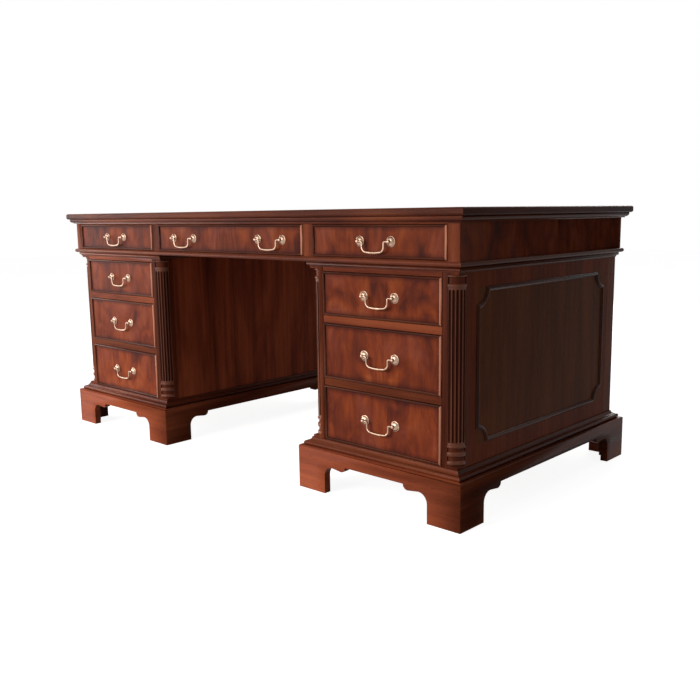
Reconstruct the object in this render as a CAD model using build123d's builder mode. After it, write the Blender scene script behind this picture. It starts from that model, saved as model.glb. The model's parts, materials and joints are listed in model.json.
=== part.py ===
from build123d import *

import os
from math import asin, cos, degrees, radians, sin

# A pedestal writing desk, in millimetres. X runs along the front, -Y faces the sitter, Z is up.
# The origin is on the floor, under the middle of the top.

# Top
desk_width = 1800.0
desk_depth = 900.0
top_thickness = 20.0
top_edge_radius = 6.0
top_overhang = 26.0

# Moulding under the top: a fillet, a quarter round and an upper fillet
top_moulding_foot = 8.0
top_moulding_fillet = 3.0
top_moulding_round = 9.5

# Frieze front: the drawers stand between two rails and four stiles
frieze_drawer_height = 86.0
frieze_upper_rail = 19.0
frieze_outer_stile = 36.0
frieze_inner_stile = 38.0
centre_drawer_width = 686.0
frieze_board = 22.0
apron_board = 20.0
partition_board = 18.0

# Half round at the waist, on the bottom edge of the frieze
waist_height = 13.0
waist_flat = 2.0

# Pedestals
pedestal_width = 504.0
pedestal_inset = 10.0
top_drawer_height = 120.0
middle_drawer_height = 153.5
bottom_drawer_height = 155.0
rail_height = 20.5
neck_rail_height = 25.0
rail_thickness = 22.0
rail_reveal = 1.0
post_size = 49.0
side_board = 18.0
back_board = 18.0
dust_board = 12.0

# Neck moulding at the top of a pedestal: a cove under a fillet
neck_fillet = 8.0
neck_cove = 6.0
neck_foot = 1.4

# Base moulding on the plinth: a torus, a fillet and a cove
torus_height = 11.5
torus_stand = 5.0
base_fillet = 1.5
base_cove = 9.5
base_step = 3.0
base_foot = 3.0

# Plinth with bracket feet
plinth_height = 125.0
plinth_projection = 31.0
plinth_board = 22.0
plinth_edge = 2.0
foot_width = 103.0
bracket_spring = 52.0
bracket_cove = 27.0
bracket_reach = 63.0
bracket_round = 15.0
bracket_facets = 5
apron_clearance = 89.5
corner_block = 30.0

# Quarter columns in stopped rebates of the front corner posts
rebate = 32.0
shaft_radius = 31.0
ring_stand = 2.0
ring_slope = 2.5
neck_recess = 2.0
base_block = 29.0
cap_block = 19.0
lower_torus = 13.0
scotia = 9.0
upper_torus = 14.0
collar = 9.0
foot_astragal = 7.0
neck_astragal = 8.0
necking = 16.0
abacus = 6.0
flute_count = 5
flute_radius = 3.4
flute_sides = 6
flute_depth = 2.5
flute_margin = 6.0

# Applied panel mouldings with indented corners
panel_side_margin = 76.0
panel_bottom_margin = 71.0
panel_top_margin = 54.0
panel_indent = 42.0
panel_moulding_width = 12.0
panel_moulding_height = 6.0
panel_moulding_slope = 25.0
panel_facets = 4

# Drawers
drawer_length = 600.0
front_thickness = 20.0
bead_width = 6.5
bead_stand = 4.5
bead_facets = 4
fit_gap = 1.0
box_board = 12.0
box_top_gap = 6.0
bottom_board = 6.0
bottom_lift = 10.0
groove_depth = 5.0
guide_height = 20.0
stop_width = 40.0
stop_depth = 20.0
stop_height = 8.0

# Handles
post_spacing = 105.0
centre_handle_offset = 207.0
pivot_stand = 11.0
rosette_radius = 14.0
rosette_sides = 10
rosette_rim = 1.5
dome_rise = 3.0
dome_tapers = (38.0, 68.0)
eye_radius = 4.5
eye_width = 8.0
eye_sides = 6
pin_radius = 2.0
pin_flat = 1.55
pin_clearance = 0.05
pin_hole_sides = 6
bail_radius = 2.75
bail_sides = 6
bail_inset = 15.5
bail_drop = 29.0
bail_bow = 1.5
bail_shoulder = 5.0
bail_corner = 14.0
bend_facets = 2
side_play = 0.4

# Heights, from the floor up
base_moulding_height = torus_height + base_fillet + base_cove
bottom_rail_height = base_moulding_height + rail_reveal
bottom_opening = plinth_height + bottom_rail_height
middle_opening = bottom_opening + bottom_drawer_height + 2 * fit_gap + rail_height
top_opening = middle_opening + middle_drawer_height + 2 * fit_gap + rail_height
pedestal_top = top_opening + top_drawer_height + 2 * fit_gap + neck_rail_height
frieze_lower_rail = waist_height + rail_reveal
frieze_opening = pedestal_top + frieze_lower_rail
case_top = frieze_opening + frieze_drawer_height + 2 * fit_gap + frieze_upper_rail
column_bottom = plinth_height + base_block
column_top = pedestal_top - cap_block

# Plan of the frieze and of a pedestal
case_x = desk_width / 2 - top_overhang
case_y = desk_depth / 2 - top_overhang
frieze_face = -case_y
pedestal_y = case_y - pedestal_inset
pedestal_face = -pedestal_y
pedestal_x = case_x - pedestal_inset - pedestal_width / 2
half_pedestal = pedestal_width / 2
half_opening = half_pedestal - post_size
half_inside = half_pedestal - side_board
centre_opening = centre_drawer_width / 2 + fit_gap
inner_stile_end = centre_opening + frieze_inner_stile
outer_stile_start = case_x - frieze_outer_stile
partition_x = centre_opening + frieze_inner_stile / 2


def board(x_limits, y_limits, z_limits):
    """A flat board between three pairs of limits."""
    x_low, x_high = x_limits
    y_low, y_high = y_limits
    z_low, z_high = z_limits
    with BuildPart() as piece:
        with BuildSketch(Plane.XY.offset(z_low)):
            with Locations(((x_low + x_high) / 2, (y_low + y_high) / 2)):
                Rectangle(x_high - x_low, y_high - y_low)
        extrude(amount=z_high - z_low)
    return piece.part


def bend(centre, radius, start, turn, facets):
    """Points along an arc that is drawn with flat facets."""
    points = []
    for step in range(facets + 1):
        angle = radians(start + turn * step / facets)
        points.append((centre[0] + radius * cos(angle), centre[1] + radius * sin(angle)))
    return points


def mitred_frame(plan, half_x, half_y, reach, section):
    """Four lengths of moulding, mitred round a rectangle on the plane plan.

    The section is drawn outwards (first axis) and upwards (second axis) from the rectangle's edge,
    no further out than reach.
    """
    lengths = []
    sides = (
        (plan.x_dir, half_x, half_y),
        (plan.y_dir, half_y, half_x),
        (-plan.x_dir, half_x, half_y),
        (-plan.y_dir, half_y, half_x),
    )
    for along, run, away in sides:
        side = Plane(plan.origin, x_dir=along, z_dir=plan.z_dir)
        edge_middle = side.from_local_coords((0, -away, 0))
        section_plane = Plane(origin=edge_middle, x_dir=-side.y_dir, z_dir=-side.x_dir)
        with BuildPart() as length:
            with BuildSketch(section_plane):
                add(section)
            extrude(amount=run + reach, both=True)
            with BuildSketch(side):
                with BuildLine():
                    Polyline(
                        (-run, -away),
                        (run, -away),
                        (run + reach, -away - reach),
                        (-run - reach, -away - reach),
                        close=True,
                    )
                make_face()
            extrude(amount=run + away, both=True, mode=Mode.INTERSECT)
        lengths.append(length.part)
    return lengths


def mirrored(pieces):
    """The same pieces on the other side of the desk."""
    return [mirror(piece, about=Plane.YZ) for piece in pieces]


# Top

with BuildPart() as top_board:
    with BuildSketch(Plane.XY.offset(case_top)):
        Rectangle(desk_width, desk_depth)
    extrude(amount=top_thickness)
    rims = top_board.edges().filter_by(Plane.XY)
    fillet(rims, radius=top_edge_radius)


top_moulding_reach = top_moulding_foot + top_moulding_round
round_top = top_moulding_fillet + top_moulding_round
top_moulding_height = round_top + top_moulding_fillet
with BuildSketch() as top_moulding_section:
    with BuildLine():
        Polyline((0, 0), (top_moulding_foot, 0), (top_moulding_foot, top_moulding_fillet))
        CenterArc((top_moulding_foot, round_top), top_moulding_round, -90, 90)
        Polyline(
            (top_moulding_reach, round_top),
            (top_moulding_reach, top_moulding_height),
            (0, top_moulding_height),
            (0, 0),
        )
    make_face()
top_moulding = mitred_frame(
    Plane.XY.offset(case_top - top_moulding_height),
    case_x,
    case_y,
    top_moulding_reach,
    top_moulding_section.sketch,
)


# Frieze

rail_back = frieze_face + frieze_board
apron_front = case_y - apron_board
end_inside = case_x - frieze_board

frieze_front = [
    board((-outer_stile_start, outer_stile_start), (frieze_face, rail_back), (pedestal_top, frieze_opening)),
    board(
        (-outer_stile_start, outer_stile_start),
        (frieze_face, rail_back),
        (case_top - frieze_upper_rail, case_top),
    ),
]
for stile_low in (-inner_stile_end, centre_opening):
    frieze_front.append(
        board(
            (stile_low, stile_low + frieze_inner_stile),
            (frieze_face, rail_back),
            (frieze_opening, case_top - frieze_upper_rail),
        )
    )

# The outer stiles and the ends meet in a mitre at the front corners.
with BuildPart() as outer_stile:
    with BuildSketch(Plane.XY.offset(pedestal_top)):
        with BuildLine():
            Polyline(
                (outer_stile_start, frieze_face),
                (case_x, frieze_face),
                (end_inside, rail_back),
                (outer_stile_start, rail_back),
                close=True,
            )
        make_face()
    extrude(amount=case_top - pedestal_top)

with BuildPart() as frieze_end:
    with BuildSketch(Plane.XY.offset(pedestal_top)):
        with BuildLine():
            Polyline(
                (case_x, frieze_face),
                (case_x, apron_front),
                (end_inside, apron_front),
                (end_inside, rail_back),
                close=True,
            )
        make_face()
    extrude(amount=case_top - pedestal_top)

frieze_front += [outer_stile.part, *mirrored([outer_stile.part])]
frieze_aprons = [
    frieze_end.part,
    *mirrored([frieze_end.part]),
    board((-case_x, case_x), (apron_front, case_y), (pedestal_top, case_top)),
]


waist_round = waist_height / 2
with BuildSketch() as waist_section:
    with BuildLine():
        Polyline((waist_flat, 0), (0, 0), (0, waist_height), (waist_flat, waist_height))
        CenterArc((waist_flat, waist_round), waist_round, -90, 180)
    make_face()
waist_moulding = mitred_frame(
    Plane.XY.offset(pedestal_top), case_x, case_y, waist_flat + waist_round, waist_section.sketch
)


def drawer_stops(centre, half_width, back, floor):
    """Two blocks behind the lower edge of a drawer front, which stop it flush when it is shut."""
    stops = []
    for side in (-1, 1):
        middle = centre + side * half_width / 2
        stops.append(
            board(
                (middle - stop_width / 2, middle + stop_width / 2),
                (back, back + stop_depth),
                (floor, floor + stop_height),
            )
        )
    return stops


guide_end = frieze_face + drawer_length
frieze_runners = [board((-end_inside, end_inside), (rail_back, apron_front), (pedestal_top, frieze_opening))]
side_drawer_middle = (inner_stile_end + outer_stile_start) / 2
half_side_opening = (outer_stile_start - inner_stile_end) / 2
for side in (-1, 1):
    middle = side * partition_x
    partition_faces = (middle - partition_board / 2, middle + partition_board / 2)
    frieze_runners.append(board(partition_faces, (rail_back, apron_front), (frieze_opening, case_top)))
    guides = (
        (centre_opening, partition_x - partition_board / 2),
        (partition_x + partition_board / 2, inner_stile_end),
        (outer_stile_start, end_inside),
    )
    for guide_low, guide_high in guides:
        limits = sorted((side * guide_low, side * guide_high))
        frieze_runners.append(
            board(limits, (rail_back, guide_end), (frieze_opening, frieze_opening + guide_height))
        )
stop_start = frieze_face + front_thickness
for middle, half_width in (
    (-side_drawer_middle, half_side_opening),
    (0, centre_opening),
    (side_drawer_middle, half_side_opening),
):
    frieze_runners += drawer_stops(middle, half_width, stop_start, frieze_opening)


# Pedestals: the right one is made where it stands, and the left one is its mirror image

inner_x = pedestal_x - half_pedestal
outer_x = pedestal_x + half_pedestal
pedestal_openings = (
    (bottom_opening, bottom_drawer_height + 2 * fit_gap),
    (middle_opening, middle_drawer_height + 2 * fit_gap),
    (top_opening, top_drawer_height + 2 * fit_gap),
)
corners = [(x_side, y_side) for x_side in (-1, 1) for y_side in (-1, 1)]


def corner_post(x_side, y_side):
    """A square post; a front one has a stopped rebate in its outer corner for a quarter column."""
    corner_x = pedestal_x + x_side * half_pedestal
    corner_y = y_side * pedestal_y
    with BuildPart() as post:
        with BuildSketch(Plane.XY.offset(plinth_height)):
            with Locations((corner_x - x_side * post_size / 2, corner_y - y_side * post_size / 2)):
                Rectangle(post_size, post_size)
        extrude(amount=pedestal_top - plinth_height)
        if y_side < 0:
            with BuildSketch(Plane.XY.offset(column_bottom)):
                with Locations((corner_x - x_side * rebate / 2, corner_y - y_side * rebate / 2)):
                    Rectangle(rebate, rebate)
            extrude(amount=column_top - column_bottom, mode=Mode.SUBTRACT)
    return post.part


rail_limits = (pedestal_x - half_opening, pedestal_x + half_opening)
rail_depth = (pedestal_face, pedestal_face + rail_thickness)
pedestal_frame = [corner_post(x_side, y_side) for x_side, y_side in corners]
rail_bottoms = [plinth_height]
rail_tops = []
for opening_bottom, opening_height in pedestal_openings:
    rail_tops.append(opening_bottom)
    rail_bottoms.append(opening_bottom + opening_height)
rail_tops.append(pedestal_top)
for rail_bottom, rail_top in zip(rail_bottoms, rail_tops):
    pedestal_frame.append(board(rail_limits, rail_depth, (rail_bottom, rail_top)))

post_end = pedestal_y - post_size
panel_heights = (plinth_height, pedestal_top)
side_panels = [
    board((outer_x - side_board, outer_x), (-post_end, post_end), panel_heights),
    board((inner_x, inner_x + side_board), (-post_end, post_end), panel_heights),
]
back_panel = [board(rail_limits, (pedestal_y - back_board, pedestal_y), panel_heights)]


def dust_panel(level):
    """A dust board under the given level, notched round the four posts."""
    front = pedestal_face + rail_thickness
    back = pedestal_y - back_board
    with BuildPart() as panel:
        with BuildSketch(Plane.XY.offset(level - dust_board)):
            with Locations((pedestal_x, (front + back) / 2)):
                Rectangle(2 * half_inside, back - front)
            for x_side, y_side in corners:
                corner = (pedestal_x + x_side * half_pedestal, y_side * pedestal_y)
                with Locations(corner):
                    Rectangle(2 * post_size, 2 * post_size, mode=Mode.SUBTRACT)
        extrude(amount=dust_board)
    return panel.part


pedestal_runners = [dust_panel(pedestal_top)]
for opening_bottom, opening_height in pedestal_openings:
    pedestal_runners.append(dust_panel(opening_bottom))
    guide_heights = (opening_bottom, opening_bottom + guide_height)
    for side in (-1, 1):
        limits = sorted((pedestal_x + side * half_opening, pedestal_x + side * half_inside))
        pedestal_runners.append(board(limits, (-post_end, pedestal_face + drawer_length), guide_heights))
    pedestal_runners += drawer_stops(
        pedestal_x, half_opening, pedestal_face + front_thickness, opening_bottom
    )


foot_height = lower_torus + scotia + upper_torus + collar + foot_astragal
head_height = neck_astragal + necking + abacus
column_height = column_top - column_bottom
shaft_top = column_height - head_height
ring_radius = shaft_radius + ring_stand
recess_radius = shaft_radius - neck_recess


def ring(bottom, height, radius_above):
    """Levels and radii of a ring: out from the recess below it, and back to the radius above it."""
    top = bottom + height
    slope = min(ring_slope, height / 3)
    return [
        (bottom, recess_radius),
        (bottom + slope, ring_radius),
        (top - slope, ring_radius),
        (top, radius_above),
    ]


column_profile = [
    *ring(0, lower_torus, recess_radius),
    *ring(lower_torus + scotia, upper_torus, recess_radius),
    *ring(foot_height - foot_astragal, foot_astragal, shaft_radius),
    (shaft_top, shaft_radius),
    *ring(shaft_top, neck_astragal, recess_radius)[1:],
    *ring(column_height - abacus, abacus, recess_radius),
]
with BuildPart() as column:
    for (low, radius), (high, next_radius) in zip(column_profile, column_profile[1:]):
        for level, level_radius in ((low, radius), (high, next_radius)):
            with BuildSketch(Plane.XY.offset(level)):
                RegularPolygon(level_radius, 4 * flute_count, major_radius=False)
        loft(ruled=True)
    with BuildSketch():
        Rectangle(2 * shaft_radius, 2 * shaft_radius, align=Align.MIN)
    extrude(amount=column_height, mode=Mode.INTERSECT)
    with BuildSketch(Plane.XY.offset(foot_height + flute_margin)):
        away = shaft_radius + flute_radius - flute_depth
        with PolarLocations(away, flute_count, start_angle=45 / flute_count, angular_range=90):
            RegularPolygon(flute_radius, flute_sides, major_radius=False, rotation=180 / flute_sides)
    extrude(amount=shaft_top - foot_height - 2 * flute_margin, mode=Mode.SUBTRACT)

quarter_turns = {(-1, -1): 180, (1, -1): 270}
with BuildPart() as columns:
    for (x_side, y_side), turn in quarter_turns.items():
        rebate_x = pedestal_x + x_side * (half_pedestal - rebate)
        rebate_y = y_side * (pedestal_y - rebate)
        with Locations(Location((rebate_x, rebate_y, column_bottom), (0, 0, turn))):
            add(column.part)


def indented_panel(half_width, inset):
    """A panel whose corners are cut away by circles round them, kept inset from its outline."""
    low = plinth_height + panel_bottom_margin
    high = pedestal_top - panel_top_margin
    radius = panel_indent + inset
    tilt = degrees(asin(inset / radius))
    centres = ((half_width, low), (half_width, high), (-half_width, high), (-half_width, low))
    points = []
    for turn, centre in enumerate(centres, start=2):
        points += bend(centre, radius, turn * 90 - tilt, 2 * tilt - 90, panel_facets)
    with BuildSketch() as outline:
        with BuildLine():
            Polyline(*points, close=True)
        make_face()
    return outline.sketch


def panel_moulding(face, half_width):
    """A moulding applied to a panel: a band with sloping sides round an indented outline."""
    with BuildPart() as moulding:
        with BuildSketch(face):
            add(indented_panel(half_width, 0))
        extrude(amount=panel_moulding_height, taper=panel_moulding_slope)
        with BuildSketch(face):
            add(indented_panel(half_width, panel_moulding_width))
        extrude(amount=panel_moulding_height, taper=-panel_moulding_slope, mode=Mode.SUBTRACT)
    return moulding.part


side_face = Plane(origin=(outer_x, 0, 0), x_dir=(0, 1, 0), z_dir=(1, 0, 0))
back_face = Plane(origin=(pedestal_x, pedestal_y, 0), x_dir=(-1, 0, 0), z_dir=(0, 1, 0))
panel_mouldings = [
    panel_moulding(side_face, pedestal_y - panel_side_margin),
    panel_moulding(back_face, half_pedestal - panel_side_margin),
]


neck_height = neck_fillet + neck_cove
neck_reach = neck_foot + neck_cove
with BuildSketch() as neck_section:
    with BuildLine():
        Polyline(
            (neck_foot, 0), (0, 0), (0, neck_height), (neck_reach, neck_height), (neck_reach, neck_cove)
        )
        CenterArc((neck_reach, 0), neck_cove, 90, 90)
    make_face()
neck_plan = Plane((pedestal_x, 0, pedestal_top - neck_height))
neck_moulding = mitred_frame(neck_plan, half_pedestal, pedestal_y, neck_reach, neck_section.sketch)

cove_edge = base_foot + base_cove
torus_edge = cove_edge + base_step
base_reach = torus_edge + torus_stand
with BuildSketch() as base_section:
    with BuildLine():
        Polyline((base_foot, base_moulding_height), (0, base_moulding_height), (0, 0), (torus_edge, 0))
        ThreePointArc((torus_edge, 0), (base_reach, torus_height / 2), (torus_edge, torus_height))
        Polyline(
            (torus_edge, torus_height), (cove_edge, torus_height), (cove_edge, torus_height + base_fillet)
        )
        CenterArc((cove_edge, base_moulding_height), base_cove, 180, 90)
    make_face()
base_plan = Plane((pedestal_x, 0, plinth_height))
base_moulding = mitred_frame(base_plan, half_pedestal, pedestal_y, base_reach, base_section.sketch)


def bracket_board(half_length):
    """One plinth board, seen from outside: two bracket feet joined by an apron."""
    foot = half_length - foot_width
    cove_end = foot - bracket_cove
    dip = foot - bracket_reach
    with BuildSketch() as outline:
        with BuildLine():
            Polyline(
                (0, apron_clearance),
                *bend((dip, apron_clearance), bracket_round, 180, 90, bracket_facets),
                *bend((cove_end, bracket_spring), bracket_cove, 90, -90, bracket_facets),
                (foot, 0),
                (half_length, 0),
                (half_length, plinth_height),
                (0, plinth_height),
                close=True,
            )
        make_face()
        mirror(about=Plane.YZ)
    return outline.sketch


def plinth_side(turn, run, away):
    """A plinth board with mitred ends, at the given distance from the pedestal's middle."""
    plan = Plane((pedestal_x, 0, 0)).rotated((0, 0, turn))
    outside = Plane(origin=plan.from_local_coords((0, -away, 0)), x_dir=plan.x_dir, z_dir=-plan.y_dir)
    with BuildPart() as side:
        with BuildSketch(outside):
            add(bracket_board(run))
        extrude(amount=-plinth_board)
        outer_face = side.faces().sort_by(Axis(outside.origin, outside.z_dir))[-1]
        chamfer(outer_face.edges().sort_by(Axis.Z)[-1], plinth_edge)
        with BuildSketch(plan):
            with BuildLine():
                Polyline(
                    (-run, -away),
                    (run, -away),
                    (run - plinth_board, plinth_board - away),
                    (plinth_board - run, plinth_board - away),
                    close=True,
                )
            make_face()
        extrude(amount=plinth_height, mode=Mode.INTERSECT)
    return side.part


plinth_x = half_pedestal + plinth_projection
plinth_y = pedestal_y + plinth_projection
plinth = [
    plinth_side(0, plinth_x, plinth_y),
    plinth_side(90, plinth_y, plinth_x),
    plinth_side(180, plinth_x, plinth_y),
    plinth_side(270, plinth_y, plinth_x),
]
block_x = plinth_x - plinth_board
block_y = plinth_y - plinth_board
for x_side, y_side in corners:
    block_limits = sorted((x_side * block_x, x_side * (block_x - corner_block)))
    plinth.append(
        board(
            [pedestal_x + limit for limit in block_limits],
            sorted((y_side * block_y, y_side * (block_y - corner_block))),
            (0, plinth_height),
        )
    )


# Drawers

bead_nose = bead_stand - bead_width / 2
with BuildSketch() as bead_section:
    with BuildLine():
        Polyline(
            (0, -front_thickness),
            (bead_width, -front_thickness),
            *bend((bead_width / 2, bead_nose), bead_width / 2, 0, 180, bead_facets),
            close=True,
        )
    make_face()


def drawer_front(x_limits, z_limits, face):
    """A drawer front inside four mitred cock beads."""
    x_low, x_high = x_limits
    z_low, z_high = z_limits
    half_x = (x_high - x_low) / 2 - bead_width
    half_z = (z_high - z_low) / 2 - bead_width
    middle = Plane(
        origin=((x_low + x_high) / 2, face, (z_low + z_high) / 2), x_dir=(1, 0, 0), z_dir=(0, -1, 0)
    )
    with BuildPart() as panel:
        with BuildSketch(middle):
            Rectangle(2 * half_x, 2 * half_z)
        extrude(amount=-front_thickness)
    beads = mitred_frame(middle, half_x, half_z, bead_width, bead_section.sketch)
    return [panel.part, *beads]


def drawer_box(x_limits, floor, height, face):
    """Two grooved sides, a back and a bottom that slides into the grooves."""
    x_low, x_high = x_limits
    front = face + front_thickness
    back = face + drawer_length
    side_top = floor + height - box_top_gap
    bottom_low = floor + bottom_lift
    bottom_high = bottom_low + bottom_board
    sides = []
    for edge, inward in ((x_low, 1), (x_high, -1)):
        with BuildPart() as side:
            with BuildSketch(Plane.XZ.offset(-back)):
                with Locations((edge + inward * box_board / 2, (floor + side_top) / 2)):
                    Rectangle(box_board, side_top - floor)
                groove_middle = edge + inward * (box_board - groove_depth / 2)
                with Locations((groove_middle, (bottom_low + bottom_high) / 2)):
                    Rectangle(groove_depth, bottom_board, mode=Mode.SUBTRACT)
            extrude(amount=back - front)
        sides.append(side.part)
    inside = (x_low + box_board, x_high - box_board)
    back_piece = board(inside, (back - box_board, back), (bottom_high, side_top))
    bottom_limits = (inside[0] - groove_depth, inside[1] + groove_depth)
    bottom_piece = board(bottom_limits, (front, back), (bottom_low, bottom_high))
    return [*sides, back_piece, bottom_piece]


# The post and the bail of a handle are made once, on the XY plane, and set on each drawer front.

pivot_plane = Plane.XY.offset(pivot_stand)
with BuildPart() as post:
    with BuildSketch():
        RegularPolygon(rosette_radius, rosette_sides)
    extrude(amount=rosette_rim)
    for taper in dome_tapers:
        extrude(post.faces().sort_by(Axis.Z)[-1], amount=dome_rise, taper=taper)
    stem = pivot_stand - rosette_rim - dome_rise * len(dome_tapers)
    extrude(post.faces().sort_by(Axis.Z)[-1], amount=stem)
    eye = Plane(origin=pivot_plane.origin, x_dir=(0, 1, 0), z_dir=(1, 0, 0))
    with BuildSketch(eye):
        RegularPolygon(eye_radius, eye_sides)
    extrude(amount=eye_width / 2, both=True)
    with BuildSketch(eye):
        RegularPolygon(pin_radius + pin_clearance, pin_hole_sides, major_radius=False)
    extrude(amount=eye_width, both=True, mode=Mode.SUBTRACT)

half_spacing = post_spacing / 2
arm = half_spacing - eye_width / 2 - side_play
leg = half_spacing - bail_inset
bail_foot = bail_corner - bail_drop + bail_bow
half_route = [
    (arm, 0),
    *bend((leg + bail_shoulder, -bail_shoulder), bail_shoulder, 90, 90, bend_facets),
    *bend((leg - bail_corner, bail_foot), bail_corner, 0, -90, bend_facets),
]
other_half = [(-across, up) for across, up in reversed(half_route)]
with BuildPart() as bail:
    with BuildLine(pivot_plane) as route:
        Polyline(*half_route, (0, -bail_drop), *other_half)
    with BuildSketch(Plane(origin=(arm, 0, pivot_stand), x_dir=(0, 1, 0), z_dir=(-1, 0, 0))):
        RegularPolygon(bail_radius, bail_sides)
    sweep(path=route.wires()[0], transition=Transition.RIGHT)
    # Each pin is round, filed with four flats.
    for side in (-1, 1):
        with BuildSketch(Plane(origin=(side * arm, 0, pivot_stand), x_dir=(0, 1, 0), z_dir=(side, 0, 0))):
            Circle(pin_radius)
            Rectangle(2 * pin_flat, 2 * pin_flat, mode=Mode.INTERSECT)
        extrude(amount=eye_width - side_play)


def on_front(pattern, x, z, face):
    """A piece of a handle, set on a drawer front."""
    return Plane(origin=(x, face, z), x_dir=(1, 0, 0), z_dir=(0, -1, 0)).location * pattern


def post_places(middle):
    """Where the two posts of a handle stand, either side of its middle."""
    return [middle - half_spacing, middle + half_spacing]


parts = {
    "top_board": [top_board.part],
    "top_moulding": top_moulding,
    "frieze_front": frieze_front,
    "frieze_aprons": frieze_aprons,
    "frieze_runners": frieze_runners,
    "waist_moulding": waist_moulding,
    "neck_mouldings": [*neck_moulding, *mirrored(neck_moulding)],
}
right_pedestal = {
    "frame": pedestal_frame,
    "side_panels": side_panels,
    "back_panel": back_panel,
    "runners": pedestal_runners,
    "columns": columns.part.solids(),
    "panel_mouldings": panel_mouldings,
    "base_moulding": base_moulding,
    "plinth": plinth,
}
for name, pieces in right_pedestal.items():
    parts[f"right_{name}"] = pieces
    parts[f"left_{name}"] = mirrored(pieces)

# Each drawer: the limits of its opening, its face and the middles of its handles
drawers = {
    "frieze_centre": (0, centre_opening, frieze_opening, frieze_drawer_height, frieze_face),
}
for side_name, side in (("left", -1), ("right", 1)):
    drawers[f"frieze_{side_name}"] = (
        side * side_drawer_middle,
        half_side_opening,
        frieze_opening,
        frieze_drawer_height,
        frieze_face,
    )
    for level_name, (opening_bottom, opening_height) in zip(("bottom", "middle", "top"), pedestal_openings):
        drawers[f"{side_name}_{level_name}"] = (
            side * pedestal_x,
            half_opening,
            opening_bottom,
            opening_height - 2 * fit_gap,
            pedestal_face,
        )

for name, (middle, half_width, floor, height, face) in drawers.items():
    handles = {"bail": middle}
    if name == "frieze_centre":
        handles = {
            "left_bail": middle - centre_handle_offset,
            "right_bail": middle + centre_handle_offset,
        }
    places = [place for handle in handles.values() for place in post_places(handle)]
    x_limits = (middle - half_width + fit_gap, middle + half_width - fit_gap)
    z_limits = (floor + fit_gap, floor + fit_gap + height)
    handle_height = floor + fit_gap + height / 2
    parts[f"{name}_drawer_front"] = drawer_front(x_limits, z_limits, face)
    parts[f"{name}_drawer_box"] = drawer_box(x_limits, floor, height + 2 * fit_gap, face)
    parts[f"{name}_handle_posts"] = [on_front(post.part, place, handle_height, face) for place in places]
    for handle_name, handle in handles.items():
        parts[f"{name}_{handle_name}"] = [on_front(bail.part, handle, handle_height, face)]

os.makedirs("parts", exist_ok=True)
for name, pieces in parts.items():
    node = Compound([solid for piece in pieces for solid in piece.solids()])
    node.label = name
    export_step(node, f"parts/{name}.step")
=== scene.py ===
import json
import math

import bpy
from mathutils import Matrix, Vector

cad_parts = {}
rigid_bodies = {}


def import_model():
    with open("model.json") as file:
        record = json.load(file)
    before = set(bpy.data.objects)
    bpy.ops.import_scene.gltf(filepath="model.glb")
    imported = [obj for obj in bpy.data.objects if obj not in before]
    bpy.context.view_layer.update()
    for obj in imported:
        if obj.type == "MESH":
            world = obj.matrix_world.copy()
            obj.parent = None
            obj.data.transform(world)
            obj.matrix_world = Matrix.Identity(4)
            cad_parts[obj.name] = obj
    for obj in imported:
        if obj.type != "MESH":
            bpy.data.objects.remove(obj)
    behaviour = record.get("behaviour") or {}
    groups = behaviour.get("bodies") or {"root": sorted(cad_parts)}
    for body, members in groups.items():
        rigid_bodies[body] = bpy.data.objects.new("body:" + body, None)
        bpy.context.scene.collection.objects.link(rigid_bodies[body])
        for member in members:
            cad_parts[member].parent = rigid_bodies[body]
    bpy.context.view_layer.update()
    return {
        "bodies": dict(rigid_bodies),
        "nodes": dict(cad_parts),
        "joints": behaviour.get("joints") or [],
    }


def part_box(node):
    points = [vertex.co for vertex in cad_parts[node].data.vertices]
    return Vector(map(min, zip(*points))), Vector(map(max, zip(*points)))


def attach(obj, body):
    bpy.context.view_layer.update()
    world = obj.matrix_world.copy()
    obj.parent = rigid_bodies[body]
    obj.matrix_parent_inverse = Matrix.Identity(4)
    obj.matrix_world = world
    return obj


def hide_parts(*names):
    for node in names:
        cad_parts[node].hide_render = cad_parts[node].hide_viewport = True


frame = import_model()

# A pedestal writing desk in polished mahogany. The scene is in metres; the sizes named here are in
# millimetres, apart from those of the floor, the lamps and the camera.
MM = 0.001
X, Y, Z = 0, 1, 2

# Sizes and places that the pieces made here share with the frame
TOP_X = 900.0
TOP_Y = 450.0
FRIEZE_X = 874.0
FRIEZE_Y = 424.0
FRIEZE_END_BOARD = 850.0
FRIEZE_OPENING_LOW = 663.0
FRIEZE_OPENING_HIGH = 751.0
FRIEZE_INNER_STILE = 340.0
FRIEZE_OUTER_STILE = 838.0
PEDESTAL_X = 612.0
PEDESTAL_HALF = 252.0
PEDESTAL_Y = 414.0
RAIL_HALF = 203.5
RAIL_BACK = -380.0
LOW_RAILS = 400.0
REBATE = 32.0
COLUMN_BOTTOM = 154.0
COLUMN_TOP = 630.0
PANEL_LOW = 196.0
PANEL_HIGH = 595.0
PANEL_MARGIN = 76.0
PANEL_INDENT = 42.0
POST_SPREAD = 52.5
PIVOT_STAND = 11.0
FRONT_THICKNESS = 20.0
BEAD_WIDTH = 6.5
BOX_BOARD = 12.0
SLACK = 0.01
SIDES = (("left", -1), ("right", 1))


# Materials

def emptied(owner, output_kind):
    """The nodes and links of a material or world, emptied, and its new output node."""
    owner.use_nodes = True
    nodes = owner.node_tree.nodes
    nodes.clear()
    return nodes, owner.node_tree.links, nodes.new(output_kind)


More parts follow.
